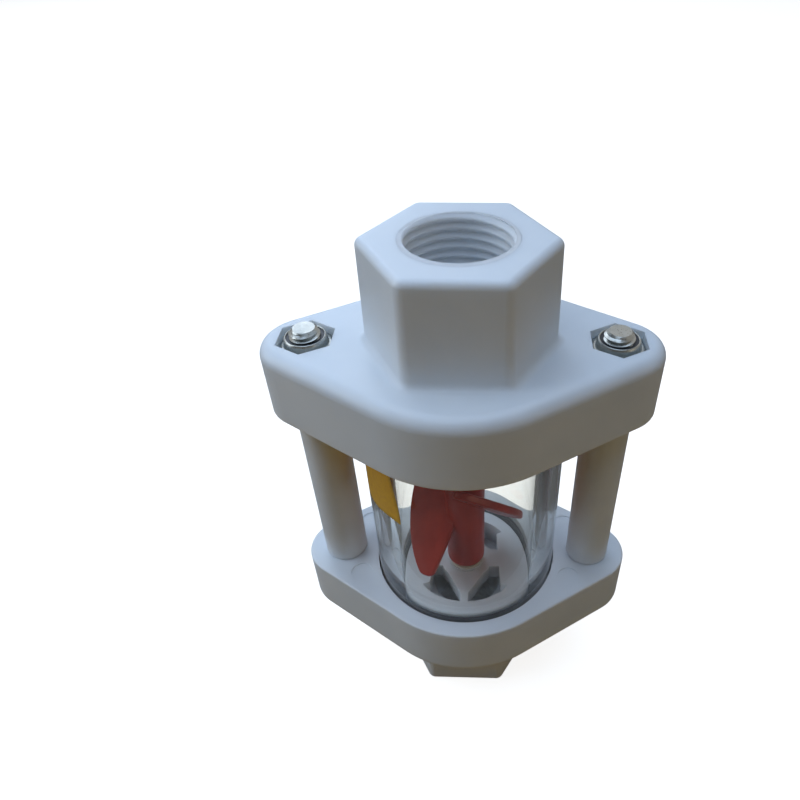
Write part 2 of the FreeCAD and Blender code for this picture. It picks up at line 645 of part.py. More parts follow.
def make_sticker(label):
    """A leaning rectangle of paper on the outside of the glass: a block that keeps part of a thin shell."""
    outside = doc.addObject("Part::Cylinder", f"{label}_outside")
    inside = doc.addObject("Part::Cylinder", f"{label}_inside")
    bind(outside, Radius="Dims.glass_radius + Dims.sticker_thickness", Height=OVERALL)
    bind(inside, Radius="Dims.glass_radius", Height=OVERALL)
    shell = doc.addObject("Part::Cut", f"{label}_shell")
    shell.Base = outside
    shell.Tool = inside
    block = doc.addObject("Part::Box", f"{label}_block")
    bind(block, Length="2 * Dims.glass_radius", Width="Dims.sticker_width", Height="Dims.sticker_height")
    lean = FreeCAD.Rotation(X_DIRECTION, value("Dims.sticker_tilt"))
    facing = FreeCAD.Rotation(Z_DIRECTION, value("Dims.sticker_bearing"))
    middle = Vector(0, 0, value(f"{FLANGE_FACE} + Dims.sticker_level"))
    corner = Vector(0, -value("Dims.sticker_width / 2"), -value("Dims.sticker_height / 2"))
    turned = facing.multiply(lean)
    block.Placement = FreeCAD.Placement(middle + turned.multVec(corner), turned)
    sticker = doc.addObject("Part::Common", label)
    sticker.Label = label
    sticker.Base = shell
    sticker.Tool = block
    return sticker


sub_parts = []
END_PIECES = (
    ("end_cap", make_end_cap),
    ("gasket", make_gasket),
    ("guide_plate", make_guide_plate),
    ("bearing_bush", make_bush),
    ("thrust_washer", make_thrust_washer),
)
for piece, make in END_PIECES:
    lower = make(f"lower_{piece}")
    upper = make(f"upper_{piece}")
    turn_over(upper)
    sub_parts += [lower, upper]

SIDE_PIECES = (
    ("pillar", make_pillar),
    ("bolt", make_bolt),
    ("lock_nut", make_lock_nut),
    ("nut_insert", make_nut_insert),
)
for piece, make in SIDE_PIECES:
    for side, sign in (("left", "-"), ("right", "")):
        body = make(f"{side}_{piece}")
        body.setExpression("Placement.Base.x", f"{sign}{HALF_SPACING}")
        sub_parts.append(body)

sub_parts.append(make_glass("glass_tube"))
sub_parts.append(make_impeller("impeller"))
sub_parts.append(make_shaft("impeller_shaft"))
sub_parts.append(make_sticker("inspection_sticker"))
doc.recompute()

for thing in doc.Objects:
    if "Invalid" in thing.State or "Error" in thing.State:
        raise RuntimeError(f"{thing.Name} failed to build: {thing.State}")
for part in sub_parts:
    if part.Shape.isNull() or not part.Shape.isValid():
        raise RuntimeError(f"{part.Label} has no valid shape")

os.makedirs("parts", exist_ok=True)
for part in sub_parts:
    part.Shape.exportStep(f"parts/{part.Label}.step")
    box = part.Shape.BoundBox
    print(f"{part.Label}: {len(part.Shape.Solids)} solid, {part.Shape.Volume:.0f} mm3, "
          f"z {box.ZMin:.2f} to {box.ZMax:.2f}")
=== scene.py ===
# %% [markdown]
# Impeller flow indicator. Two white moulded end caps clamp a clear tube between them, and liquid
# that passes through the tube turns a red impeller. The solids come from the CAD model. This script
# dresses them: it adds the finishes, and the pieces whose detail is too fine for the solids, such
# as screw threads.

# %% load the solids
import json
import math

import bmesh
import bpy
from mathutils import Matrix, Vector


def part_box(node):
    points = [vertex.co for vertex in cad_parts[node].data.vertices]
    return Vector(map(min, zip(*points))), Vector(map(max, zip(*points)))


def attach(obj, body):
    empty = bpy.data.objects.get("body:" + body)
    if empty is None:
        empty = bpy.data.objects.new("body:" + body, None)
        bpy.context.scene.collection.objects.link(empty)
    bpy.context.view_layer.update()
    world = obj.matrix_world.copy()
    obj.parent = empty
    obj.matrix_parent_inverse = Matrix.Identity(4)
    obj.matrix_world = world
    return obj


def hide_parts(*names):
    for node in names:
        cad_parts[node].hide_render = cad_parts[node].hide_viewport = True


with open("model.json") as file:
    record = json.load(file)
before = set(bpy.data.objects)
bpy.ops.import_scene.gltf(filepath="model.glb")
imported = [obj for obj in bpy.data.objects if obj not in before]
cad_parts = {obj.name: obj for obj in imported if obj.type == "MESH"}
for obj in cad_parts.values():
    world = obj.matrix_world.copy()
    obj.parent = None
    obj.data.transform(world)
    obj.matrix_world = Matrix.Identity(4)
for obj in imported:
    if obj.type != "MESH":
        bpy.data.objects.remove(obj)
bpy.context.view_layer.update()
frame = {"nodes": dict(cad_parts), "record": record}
nodes = frame["nodes"]
MM = 0.001

# %% [markdown]
# The camera is the photograph's own. It was found by matching edges of the part with the picture,
# so it is given as a place and three turns, not by aiming it at a point. It stands close, a little
# above the part, and looks down on it. The picture isn't centred on the lens's axis, so the lens
# is shifted a little, as on a view camera.

# %% camera
CAMERA_PLACE = Vector((6.285, -107.64, 168.344)) * MM
YAW, PITCH, ROLL = (math.radians(angle) for angle in (-2.315, 40.835, 0.664))
FILM_WIDTH = 36
FOCAL_LENGTH = 30.084
SHIFT_X = -0.09045
SHIFT_Y = 0.03599
NEAREST_SEEN = 5 * MM

forward = Vector((math.sin(YAW) * math.cos(PITCH), math.cos(YAW) * math.cos(PITCH),
                  -math.sin(PITCH)))
level_right = Vector((math.cos(YAW), -math.sin(YAW), 0))
level_down = forward.cross(level_right)
right = math.cos(ROLL) * level_right + math.sin(ROLL) * level_down
down = math.cos(ROLL) * level_down - math.sin(ROLL) * level_right

lens = bpy.data.cameras.new("product_lens")
lens.sensor_width = FILM_WIDTH
lens.lens = FOCAL_LENGTH
lens.shift_x = SHIFT_X
lens.shift_y = SHIFT_Y
lens.clip_start = NEAREST_SEEN
camera = bpy.data.objects.new("product_camera", lens)
turn = Matrix((right, -down, -forward)).transposed().to_4x4()
camera.matrix_world = Matrix.Translation(CAMERA_PLACE) @ turn
bpy.context.scene.collection.objects.link(camera)
bpy.context.scene.camera = camera
print("camera is", round(CAMERA_PLACE.length / MM), "mm from the foot of the part")

# %% [markdown]
# Every finish is a node tree. Four small helpers keep them short: one turns a colour code into the
# linear numbers that a renderer adds up, one adds a node with its settings and links, one starts a
# material, and one works out a pattern's scale. Patterns read Object coordinates, which are metres
# here, so a grain of a given size in millimetres needs a scale of 1000 over that size.

# %% helpers for finishes
def linear(code):
    """An sRGB colour code as linear red, green, blue and 1."""
    parts = [int(code[i:i + 2], 16) / 255 for i in (1, 3, 5)]
    return (*(p / 12.92 if p <= 0.04045 else ((p + 0.055) / 1.055) ** 2.4 for p in parts), 1.0)


def add_node(tree, kind, links=(), **settings):
    """Add a node. links gives each socket, by its name, a value or another node's output."""
    node = tree.nodes.new(kind)
    for name, value in settings.items():
        setattr(node, name, value)
    for name, value in dict(links).items():
        if isinstance(value, bpy.types.NodeSocket):
            tree.links.new(value, node.inputs[name])
        else:
            node.inputs[name].default_value = value
    return node


def start_finish(name, sockets):
    """Start a material with one Principled shader. Returns it with its tree, shader and place."""
    finish = bpy.data.materials.new(name)
    finish.use_nodes = True
    tree = finish.node_tree
    tree.nodes.clear()
    shader = add_node(tree, "ShaderNodeBsdfPrincipled", sockets)
    add_node(tree, "ShaderNodeOutputMaterial", {"Surface": shader.outputs[0]})
    place = add_node(tree, "ShaderNodeTexCoord").outputs["Object"]
    return finish, tree, shader, place


def per_mm(size):
    """The texture scale at which a pattern repeats about every size millimetres."""
    return 1 / (size * MM)


finishes = {}
print("colour check, mid grey:", round(linear("#808080")[0], 3))

# %% [markdown]
# The caps, pillars and guide plates are white ABS, injection moulded. The mould's walls were
# eroded to a fine grain, so the gloss is soft. Slow flow of the melt leaves faint clouds of tone,
# and cooling leaves flat faces very slightly wavy, which the eye sees in the highlights. Light
# enters the plastic a little way, which softens edges and shade. The grain is really about 0.1 mm,
# too fine to show here, so it is drawn at 0.4 mm.

# %% white ABS
abs_finish, tree, shader, place = start_finish("white_abs_moulded", {
    "IOR": 1.54, "Subsurface Weight": 0.6,
    "Subsurface Radius": (1.0, 0.95, 0.9), "Subsurface Scale": 2 * MM})
clouds = add_node(tree, "ShaderNodeTexNoise", {
    "Vector": place, "Scale": per_mm(22), "Detail": 3.0})
tone = add_node(tree, "ShaderNodeValToRGB", {"Fac": clouds.outputs["Fac"]})
tone.color_ramp.elements[0].position = 0.3
tone.color_ramp.elements[0].color = linear("#DDE3E8")
tone.color_ramp.elements[1].position = 0.7
tone.color_ramp.elements[1].color = linear("#E9EDF0")
tree.links.new(tone.outputs["Color"], shader.inputs["Base Color"])
gloss = add_node(tree, "ShaderNodeMapRange", {
    "Value": clouds.outputs["Fac"], "From Min": 0.3, "From Max": 0.7,
    "To Min": 0.36, "To Max": 0.46})
tree.links.new(gloss.outputs["Result"], shader.inputs["Roughness"])
wave = add_node(tree, "ShaderNodeTexNoise", {
    "Vector": place, "Scale": per_mm(7), "Detail": 1.0})
wave_bump = add_node(tree, "ShaderNodeBump", {
    "Height": wave.outputs["Fac"], "Strength": 0.35, "Distance": 0.12 * MM})
grain = add_node(tree, "ShaderNodeTexNoise", {
    "Vector": place, "Scale": per_mm(0.4), "Detail": 2.0})
grain_bump = add_node(tree, "ShaderNodeBump", {
    "Height": grain.outputs["Fac"], "Strength": 0.3, "Distance": 0.02 * MM,
    "Normal": wave_bump.outputs["Normal"]})
tree.links.new(grain_bump.outputs["Normal"], shader.inputs["Normal"])
finishes["white_abs"] = abs_finish
print("finish:", abs_finish.name)

# %% [markdown]
# The thin ridges of the threads pass more light on than a thick wall does, which makes them softer.
# They get a copy of the same finish, in which light spreads further. Its colours are also paler:
# this is painted light that brightens the threads deep in the port, where they lie in shade.

# %% white ABS of the threads, with painted light
thread_abs_painted_light = abs_finish.copy()
thread_abs_painted_light.name = "white_abs_thread_painted_light"
thread_nodes = thread_abs_painted_light.node_tree.nodes
thread_shader = thread_nodes["Principled BSDF"]
thread_shader.inputs["Subsurface Weight"].default_value = 1.0
thread_shader.inputs["Subsurface Scale"].default_value = 3 * MM
# The paler colours are painted light: they brighten the threads in the shade of the port.
thread_painted_light_ramp = thread_nodes["Color Ramp"].color_ramp
thread_painted_light_ramp.elements[0].color = linear("#E9EDF0")
thread_painted_light_ramp.elements[1].color = linear("#F3F5F7")
print("finish:", thread_abs_painted_light.name)

# %% [markdown]
# The sight tube is clear acrylic, drawn through a die. It bends light like glass does, a little
# less, and the die leaves faint lines along the tube. The lines are noise that is stretched along
# the height: close together round the tube, and long upwards.

# %% clear acrylic
acrylic, tree, shader, place = start_finish("clear_acrylic_drawn", {
    "Base Color": linear("#FBFAF4"), "IOR": 1.49, "Roughness": 0.02, "Transmission Weight": 1.0})
along = add_node(tree, "ShaderNodeMapping", {"Vector": place, "Scale": (1.0, 1.0, 0.03)})
draw_lines = add_node(tree, "ShaderNodeTexNoise", {
    "Vector": along.outputs["Vector"], "Scale": per_mm(2.5), "Detail": 2.0})
line_bump = add_node(tree, "ShaderNodeBump", {
    "Height": draw_lines.outputs["Fac"], "Strength": 0.12, "Distance": 0.03 * MM})
tree.links.new(line_bump.outputs["Normal"], shader.inputs["Normal"])
finishes["sight_glass"] = acrylic
print("finish:", acrylic.name)

# %% [markdown]
# The gaskets are moulded nitrile rubber: nearly black, matt, and never quite even. A pale bloom
# lies on it in patches, and the skin has a fine pebble that spreads the highlights.

# %% nitrile rubber
rubber, tree, shader, place = start_finish("black_nitrile_rubber", {"IOR": 1.52})
bloom = add_node(tree, "ShaderNodeTexNoise", {
    "Vector": place, "Scale": per_mm(5), "Detail": 4.0})
tone = add_node(tree, "ShaderNodeValToRGB", {"Fac": bloom.outputs["Fac"]})
tone.color_ramp.elements[0].position = 0.35
tone.color_ramp.elements[0].color = linear("#17181A")
tone.color_ramp.elements[1].position = 0.75
tone.color_ramp.elements[1].color = linear("#2C2E30")
tree.links.new(tone.outputs["Color"], shader.inputs["Base Color"])
gloss = add_node(tree, "ShaderNodeMapRange", {
    "Value": bloom.outputs["Fac"], "To Min": 0.5, "To Max": 0.75})
tree.links.new(gloss.outputs["Result"], shader.inputs["Roughness"])
pebble = add_node(tree, "ShaderNodeTexVoronoi", {"Vector": place, "Scale": per_mm(0.35)})
pebble_bump = add_node(tree, "ShaderNodeBump", {
    "Height": pebble.outputs["Distance"], "Strength": 0.3, "Distance": 0.03 * MM})
tree.links.new(pebble_bump.outputs["Normal"], shader.inputs["Normal"])
finishes["black_rubber"] = rubber
print("finish:", rubber.name)

# %% [markdown]
# Bolts and nuts are steel with bright zinc plating and a clear passivation. The plating has a
# crystalline sparkle, and the passivation tints it faintly from grey to straw. Handling leaves
# fine scratches in all directions, which break up the reflections.

# %% zinc plated steel
zinc, tree, shader, place = start_finish("zinc_plated_steel", {"Metallic": 1.0})
passivation = add_node(tree, "ShaderNodeTexNoise", {
    "Vector": place, "Scale": per_mm(3), "Detail": 3.0})
tone = add_node(tree, "ShaderNodeValToRGB", {"Fac": passivation.outputs["Fac"]})
tone.color_ramp.elements[0].position = 0.3
tone.color_ramp.elements[0].color = linear("#A4A7A4")
tone.color_ramp.elements[1].position = 0.72
tone.color_ramp.elements[1].color = linear("#C4C4BD")
tree.links.new(tone.outputs["Color"], shader.inputs["Base Color"])
crystals = add_node(tree, "ShaderNodeTexVoronoi", {"Vector": place, "Scale": per_mm(0.5)})
gloss = add_node(tree, "ShaderNodeMapRange", {
    "Value": crystals.outputs["Distance"], "To Min": 0.24, "To Max": 0.42})
tree.links.new(gloss.outputs["Result"], shader.inputs["Roughness"])
scratch = add_node(tree, "ShaderNodeTexNoise", {
    "Vector": place, "Scale": per_mm(0.6), "Detail": 5.0, "Roughness": 0.7})
scratch_bump = add_node(tree, "ShaderNodeBump", {
    "Height": scratch.outputs["Fac"], "Strength": 0.25, "Distance": 0.03 * MM})
tree.links.new(scratch_bump.outputs["Normal"], shader.inputs["Normal"])
finishes["zinc_steel"] = zinc
print("finish:", zinc.name)

# %% [markdown]
# The ring inside a lock nut is dark nylon. The bolt cuts its own thread into it, so it grips. It
# is waxy: smoother than rubber, with a wide soft highlight.

# %% dark nylon
nylon, tree, shader, place = start_finish("dark_nylon_moulded", {"IOR": 1.53})
mottle = add_node(tree, "ShaderNodeTexNoise", {
    "Vector": place, "Scale": per_mm(1.2), "Detail": 3.0})
tone = add_node(tree, "ShaderNodeValToRGB", {"Fac": mottle.outputs["Fac"]})
tone.color_ramp.elements[0].color = linear("#15171C")
tone.color_ramp.elements[1].color = linear("#262A33")
tree.links.new(tone.outputs["Color"], shader.inputs["Base Color"])
gloss = add_node(tree, "ShaderNodeMapRange", {
    "Value": mottle.outputs["Fac"], "To Min": 0.36, "To Max": 0.5})
tree.links.new(gloss.outputs["Result"], shader.inputs["Roughness"])
skin_bump = add_node(tree, "ShaderNodeBump", {
    "Height": mottle.outputs["Fac"], "Strength": 0.2, "Distance": 0.03 * MM})
tree.links.new(skin_bump.outputs["Normal"], shader.inputs["Normal"])
finishes["dark_nylon"] = nylon
print("finish:", nylon.name)

# %% [markdown]
# The impeller is one red moulding, coloured through. Thin blades fill fast, so the pigment lies in
# faint streaks along the flow, which runs outwards and up the blades. It is glossier than the caps
# because its mould was polished.

# %% red plastic
red, tree, shader, place = start_finish("red_plastic_moulded", {
    "IOR": 1.5, "Subsurface Weight": 0.1,
    "Subsurface Radius": (1.0, 0.25, 0.15), "Subsurface Scale": 1 * MM})
flow = add_node(tree, "ShaderNodeMapping", {"Vector": place, "Scale": (1.0, 1.0, 0.25)})
streaks = add_node(tree, "ShaderNodeTexNoise", {
    "Vector": flow.outputs["Vector"], "Scale": per_mm(4), "Detail": 4.0})
tone = add_node(tree, "ShaderNodeValToRGB", {"Fac": streaks.outputs["Fac"]})
tone.color_ramp.elements[0].position = 0.3
tone.color_ramp.elements[0].color = linear("#B5281B")
tone.color_ramp.elements[1].position = 0.72
tone.color_ramp.elements[1].color = linear("#CF3B27")
tree.links.new(tone.outputs["Color"], shader.inputs["Base Color"])
gloss = add_node(tree, "ShaderNodeMapRange", {
    "Value": streaks.outputs["Fac"], "To Min": 0.26, "To Max": 0.4})
tree.links.new(gloss.outputs["Result"], shader.inputs["Roughness"])
skin = add_node(tree, "ShaderNodeTexNoise", {
    "Vector": place, "Scale": per_mm(0.7), "Detail": 2.0})
skin_bump = add_node(tree, "ShaderNodeBump", {
    "Height": skin.outputs["Fac"], "Strength": 0.2, "Distance": 0.02 * MM})
tree.links.new(skin_bump.outputs["Normal"], shader.inputs["Normal"])
finishes["red_plastic"] = red
print("finish:", red.name)

# %% [markdown]
# The shaft is ground stainless steel. Grinding runs round the shaft, so the marks are bands that
# are close together along its length: noise that is squeezed in height.

# %% ground stainless steel
stainless, tree, shader, place = start_finish("stainless_steel_ground", {"Metallic": 1.0})
round_marks = add_node(tree, "ShaderNodeMapping", {"Vector": place, "Scale": (0.08, 0.08, 1.0)})
grinding = add_node(tree, "ShaderNodeTexNoise", {
    "Vector": round_marks.outputs["Vector"], "Scale": per_mm(0.3), "Detail": 3.0})
tone = add_node(tree, "ShaderNodeValToRGB", {"Fac": grinding.outputs["Fac"]})
tone.color_ramp.elements[0].color = linear("#A6A6A3")
tone.color_ramp.elements[1].color = linear("#C9C8C4")
tree.links.new(tone.outputs["Color"], shader.inputs["Base Color"])
gloss = add_node(tree, "ShaderNodeMapRange", {
    "Value": grinding.outputs["Fac"], "To Min": 0.2, "To Max": 0.38})
tree.links.new(gloss.outputs["Result"], shader.inputs["Roughness"])
mark_bump = add_node(tree, "ShaderNodeBump", {
    "Height": grinding.outputs["Fac"], "Strength": 0.2, "Distance": 0.01 * MM})
tree.links.new(mark_bump.outputs["Normal"], shader.inputs["Normal"])
finishes["stainless_steel"] = stainless
print("finish:", stainless.name)

# %% [markdown]
# Bushes and thrust washers are acetal, a slippery engineering plastic, turned on a lathe. The tool
# leaves fine rings round the axis. A real cut is too fine to show, so the rings are drawn about
# 1.6 mm apart.

# %% turned acetal
RING_SPACING = 1.5708
# A wave texture goes through one wave in this many units.
WAVE_LENGTH = math.tau / 20
acetal, tree, shader, place = start_finish("turned_acetal", {"IOR": 1.48})
rings = add_node(tree, "ShaderNodeTexWave", {
    "Vector": place, "Scale": per_mm(RING_SPACING) * WAVE_LENGTH,
    "Distortion": 1.0, "Detail": 1.0},
    wave_type="RINGS", rings_direction="Z", wave_profile="SIN")
tone = add_node(tree, "ShaderNodeValToRGB", {"Fac": rings.outputs["Fac"]})
tone.color_ramp.elements[0].color = linear("#D9D4C6")
tone.color_ramp.elements[1].color = linear("#E6E2D6")
tree.links.new(tone.outputs["Color"], shader.inputs["Base Color"])
gloss = add_node(tree, "ShaderNodeMapRange", {
    "Value": rings.outputs["Fac"], "To Min": 0.32, "To Max": 0.42})
tree.links.new(gloss.outputs["Result"], shader.inputs["Roughness"])
ring_bump = add_node(tree, "ShaderNodeBump", {
    "Height": rings.outputs["Fac"], "Strength": 0.15, "Distance": 0.02 * MM})
tree.links.new(ring_bump.outputs["Normal"], shader.inputs["Normal"])
finishes["bearing_plastic"] = acetal
print("finish:", acetal.name)

# %% [markdown]
# The sticker is coated yellow paper, and it stays bare. Paper fibres show as faint flecks under
# the coating. Its edges are a little soiled, which reads from the sticker's own UV map, so that
# the stain follows the paper round the tube.

# %% coated yellow paper
paper, tree, shader, place = start_finish("yellow_coated_paper", {
    "IOR": 1.48, "Coat Weight": 0.25, "Coat Roughness": 0.25})
fibres = add_node(tree, "ShaderNodeTexNoise", {
    "Vector": place, "Scale": per_mm(0.9), "Detail": 5.0, "Roughness": 0.65})
tone = add_node(tree, "ShaderNodeValToRGB", {"Fac": fibres.outputs["Fac"]})
tone.color_ramp.elements[0].position = 0.3
tone.color_ramp.elements[0].color = linear("#D9A01E")
tone.color_ramp.elements[1].position = 0.7
tone.color_ramp.elements[1].color = linear("#E8B530")
sheet = add_node(tree, "ShaderNodeUVMap", uv_map="paper")
from_middle = add_node(tree, "ShaderNodeVectorMath", {
    0: sheet.outputs["UV"], 1: (0.5, 0.5, 0)}, operation="SUBTRACT")
both_ways = add_node(tree, "ShaderNodeVectorMath", {
    0: from_middle.outputs[0]}, operation="ABSOLUTE")
sides = add_node(tree, "ShaderNodeSeparateXYZ", {0: both_ways.outputs[0]})
outmost = add_node(tree, "ShaderNodeMath", {
    0: sides.outputs[0], 1: sides.outputs[1]}, operation="MAXIMUM")
soiled = add_node(tree, "ShaderNodeMapRange", {
    "Value": outmost.outputs[0], "From Min": 0.44, "From Max": 0.5, "To Min": 0.0, "To Max": 0.45})
# A colour mix takes its two colours in sockets 6 and 7, and gives the result in socket 2.
stain = add_node(tree, "ShaderNodeMix", {
    "Factor": soiled.outputs["Result"], 6: tone.outputs["Color"], 7: linear("#6E5216")},
    data_type="RGBA")
tree.links.new(stain.outputs[2], shader.inputs["Base Color"])
gloss = add_node(tree, "ShaderNodeMapRange", {
    "Value": fibres.outputs["Fac"], "To Min": 0.4, "To Max": 0.6})
tree.links.new(gloss.outputs["Result"], shader.inputs["Roughness"])
fibre_bump = add_node(tree, "ShaderNodeBump", {
    "Height": fibres.outputs["Fac"], "Strength": 0.2, "Distance": 0.03 * MM})
tree.links.new(fibre_bump.outputs["Normal"], shader.inputs["Normal"])
finishes["yellow_paper"] = paper
print("finish:", paper.name)

# %% [markdown]
# The solids that keep their own shape get these finishes through their material slots. The packed
# record says which slot each solid belongs to.

# %% dress the solids
for part in frame["record"]["subparts"]:
    solid = nodes[part["node"]]
    if not solid.material_slots:
        solid.data.materials.append(None)
    for slot in solid.material_slots:
        slot.material = finishes[part["material_slot"]]

# %% [markdown]
# New pieces are drawn in millimetres, and one helper finishes each of them: it merges points that
# coincide, turns all faces outwards, brings the mesh to metres, shades it smooth except at real
# edges, ties it to its body and hides the solid that it stands for.

# %% helper for new pieces
WELD = 0.0005
SHARP = math.radians(25)


def add_piece(bm, name, slot, body, replaced=(), sharp=SHARP):
    """Make an object of a bmesh drawn in millimetres. Edges over the angle sharp stay crisp."""
    bmesh.ops.remove_doubles(bm, verts=bm.verts, dist=WELD)
    bmesh.ops.recalc_face_normals(bm, faces=bm.faces)
    bmesh.ops.scale(bm, vec=(MM, MM, MM), verts=bm.verts)
    mesh = bpy.data.meshes.new(name)
    bm.to_mesh(mesh)
    bm.free()
    mesh.shade_smooth()
    mesh.set_sharp_from_angle(angle=sharp)
    mesh.materials.append(finishes[slot])
    piece = bpy.data.objects.new(name, mesh)
    bpy.context.scene.collection.objects.link(piece)
    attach(piece, body)
    if replaced:
        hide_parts(*replaced)
    print(name, "has", len(mesh.polygons), "faces")
    return piece


def node_box(name):
    """Lowest and highest corner of a solid, in millimetres."""
    return [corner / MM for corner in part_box(name)]


print("glass spans", [round(corner.z, 2) for corner in node_box("glass_tube")], "mm in height")

# %% [markdown]
# The sight tube is a wall that is turned about the flow axis. Its section is a narrow upright
# face, and the bevel on its corners is the small chamfer that keeps the rim from chipping. The
# face itself goes, and a full spin of its outline makes the tube, so the curve is finer than the
# solid's. Light passes straight to what is inside: the tube is hidden from shadow and diffuse
# rays, because a renderer would otherwise treat clear plastic as a dark box.

# %% sight tube
GLASS_WALL = 5.0
GLASS_CHAMFER = 0.1
GLASS_STEPS = 160
# The chamfer keeps a crisp edge. Smooth shading across it would bend the view through the wall.
GLASS_SHARP = math.radians(8)
# The gaskets give under the bolts' pull, so the tube's ends stand a little way in the rubber.
END_BITE = 0.03
glass_low, glass_high = node_box("glass_tube")
glass_radius = glass_high.x
tube_bore = glass_radius - GLASS_WALL
tube_foot, tube_top = glass_low.z - END_BITE, glass_high.z + END_BITE

bm = bmesh.new()
section = [(tube_bore, tube_foot), (glass_radius, tube_foot), (glass_radius, tube_top),
           (tube_bore, tube_top)]
wall = bm.faces.new([bm.verts.new((radius, 0, height)) for radius, height in section])
bmesh.ops.bevel(bm, geom=wall.verts[:], offset=GLASS_CHAMFER, offset_type="OFFSET",
                affect="VERTICES", segments=2, profile=0.5, material=-1)
bmesh.ops.delete(bm, geom=bm.faces[:], context="FACES_ONLY")
bmesh.ops.spin(bm, geom=bm.verts[:] + bm.edges[:], cent=(0, 0, 0), axis=(0, 0, 1),
               angle=math.tau, steps=GLASS_STEPS, use_merge=True)
tube = add_piece(bm, "sight_tube", "sight_glass", "housing", ["glass_tube"], sharp=GLASS_SHARP)
tube.visible_shadow = False
tube.visible_diffuse = False

# %% [markdown]
# Threads, nuts and bolts are all made from rings and lines of edges, and four helpers serve them.
# The first picks the new ring out of an extrusion, the second extrudes a ring onto a circle, and
# the third cuts a mesh off at a level. The last one winds a thread: one pitch of its ridge is a
# line, which is spun with a step upwards, and turn joins turn where points coincide. A thread is
# wound longer than it is needed, and then cut.

# %% helpers for rings and threads
CUT_REACH = WELD / 5
SPARE_TURNS = 2


def ring_edges(geom):
    """The edges of an extruded ring, without those that join it to the ring before."""
    fresh = {item for item in geom if isinstance(item, bmesh.types.BMVert)}
    edges = [item for item in geom if isinstance(item, bmesh.types.BMEdge)]
    return [edge for edge in edges if all(vert in fresh for vert in edge.verts)]


def circle_ring(bm, ring, axis_x, radius, level):
    """Extrude a ring onto a circle of this radius and level, round the axis at axis_x."""
    geom = bmesh.ops.extrude_edge_only(bm, edges=ring)["geom"]
    for vert in (item for item in geom if isinstance(item, bmesh.types.BMVert)):
        out = Vector((vert.co.x - axis_x, vert.co.y)).normalized() * radius
        vert.co = (axis_x + out.x, out.y, level)
    return ring_edges(geom)


def cut_flat(bm, level, upwards):
    """Cut everything away that is above a level, or below it. Returns the edges of the cut."""
    cut = bmesh.ops.bisect_plane(bm, geom=bm.verts[:] + bm.edges[:] + bm.faces[:],
                                 dist=CUT_REACH, plane_co=(0, 0, level),
                                 plane_no=(0, 0, 1 if upwards else -1), clear_outer=True)
    rim = [item for item in cut["geom_cut"] if isinstance(item, bmesh.types.BMEdge)]
    return [edge for edge in rim if edge.is_boundary]


def wind_thread(bm, ridge, start, pitch, turns, steps):
    """Wind one pitch of a ridge, given as pairs of radius and height, into a helix."""
    points = [bm.verts.new((radius, 0, start + height)) for radius, height in ridge]
    line = [bm.edges.new(pair) for pair in zip(points, points[1:])]
    bmesh.ops.spin(bm, geom=points + line, cent=(0, 0, 0), axis=(0, 0, 1),
                   dvec=(0, 0, pitch / steps), angle=math.tau * turns, steps=steps * turns)
    bmesh.ops.remove_doubles(bm, verts=bm.verts, dist=WELD)


print("points merge within", WELD, "mm, and a cut takes in points within", CUT_REACH, "mm")

# %% [markdown]
# Both ports have a half-inch pipe thread, 14 turns to the inch, which is a ridge every 1.814 mm.
# The solids have a plain hole at the depth of the grooves. The ridge has the round crest and root
# of a pipe thread, and planes cut the helix flush with the port's face and with the floor of the
# hole. From there it is given a thick back inside the cap's wall, because light that enters the
# white plastic needs a body to spread in. In the photograph the crest meets the port's face at the
# front, so the helix starts where that comes true. Both caps come out of one mould, so the lower
# thread is the upper one, turned over with its cap.

# %% pipe threads
PIPE_PITCH = 1.814
PIPE_ROOT = 10.30
PIPE_CREST = 9.58
PIPE_ROUND = 0.34
PIPE_ROUND_ANGLES = [math.radians(angle) for angle in (0, 20, 40, 60)]
PIPE_BACK = 13.8
PIPE_DEPTH = 16.9
PIPE_STEPS = 96
# The cut is a hair under the port's face, so that the two don't lie in one plane.
PIPE_LEAD = 0.005
# The front is three quarters of a turn on from the X axis, where a spin starts.
FRONT_TURN = 0.75
# The crest is half a pitch above the groove where the ridge starts.
CREST_TURN = 0.5


def pipe_ridge():
    """One pitch of the pipe thread, from the middle of a groove to that of the next."""
    root, crest = [], []
    for angle in PIPE_ROUND_ANGLES:
        inwards = PIPE_ROUND * (1 - math.cos(angle))
        upwards = PIPE_ROUND * math.sin(angle)
        root.append((PIPE_ROOT - inwards, upwards))
        crest.append((PIPE_CREST + inwards, PIPE_PITCH / 2 - upwards))
    half = root + crest[::-1]
    return half + [(radius, PIPE_PITCH - height) for radius, height in half[-2::-1]]


def pipe_thread(low, high):
    """The threaded wall of a port between two levels. The crest meets the upper one in front."""
    bm = bmesh.new()
    turns = math.ceil((high - low) / PIPE_PITCH) + 1
    start = high - (turns + FRONT_TURN + CREST_TURN) * PIPE_PITCH
    wind_thread(bm, pipe_ridge(), start, PIPE_PITCH, turns + SPARE_TURNS, PIPE_STEPS)
    rims = [cut_flat(bm, high, True), cut_flat(bm, low, False)]
    backs = [circle_ring(bm, rim, 0, PIPE_BACK, level) for rim, level in zip(rims, (high, low))]
    bmesh.ops.bridge_loops(bm, edges=backs[0] + backs[1])
    return bm


port_top = node_box("upper_end_cap")[1].z
upper_thread = pipe_thread(port_top - PIPE_DEPTH, port_top - PIPE_LEAD)
lower_thread = upper_thread.copy()
bmesh.ops.rotate(lower_thread, cent=(0, 0, port_top / 2), verts=lower_thread.verts,
                 matrix=Matrix.Rotation(math.pi, 3, "X"))
# The threads take the copy with paler colours, which are painted light for the shaded bore.
for bm, name in ((upper_thread, "upper_pipe_thread"), (lower_thread, "lower_pipe_thread")):
    add_piece(bm, name, "white_abs", "housing").data.materials[0] = thread_abs_painted_light

# %% [markdown]
# Nuts and bolt heads are hexagons with a turned chamfer, which leaves a curved edge on each flat.
# The chamfer is made from the hexagon's ring of edges: cut fine, each point of it is lowered by
# how far it stands outside a circle.

